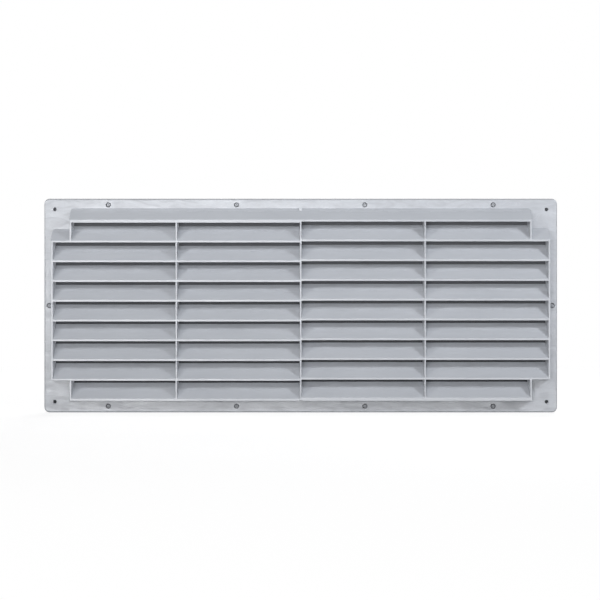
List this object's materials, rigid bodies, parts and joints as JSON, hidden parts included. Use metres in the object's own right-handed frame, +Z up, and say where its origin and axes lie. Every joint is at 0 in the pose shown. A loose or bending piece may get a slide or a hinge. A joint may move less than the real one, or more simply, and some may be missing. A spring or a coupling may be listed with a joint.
{
  "type": "ventilation grille",
  "caption": "Rectangular wall ventilation grille moulded in one piece: a flat flange with corner screw holes and a raised block of fixed slanted rain louvres between upright dividers.",
  "frame": {"origin": "middle of the flat back face that lies against the wall", "axes": "+X along the width, +Y into the wall behind the grille, +Z up; the louvres face -Y"},
  "size_m": [0.48, 0.0138, 0.2],
  "materials": {
    "grey_plastic": "light grey moulded plastic with a satin sheen"
  },
  "bodies": {
    "root": {"grille": "grey_plastic"}
  },
  "joints": []
}
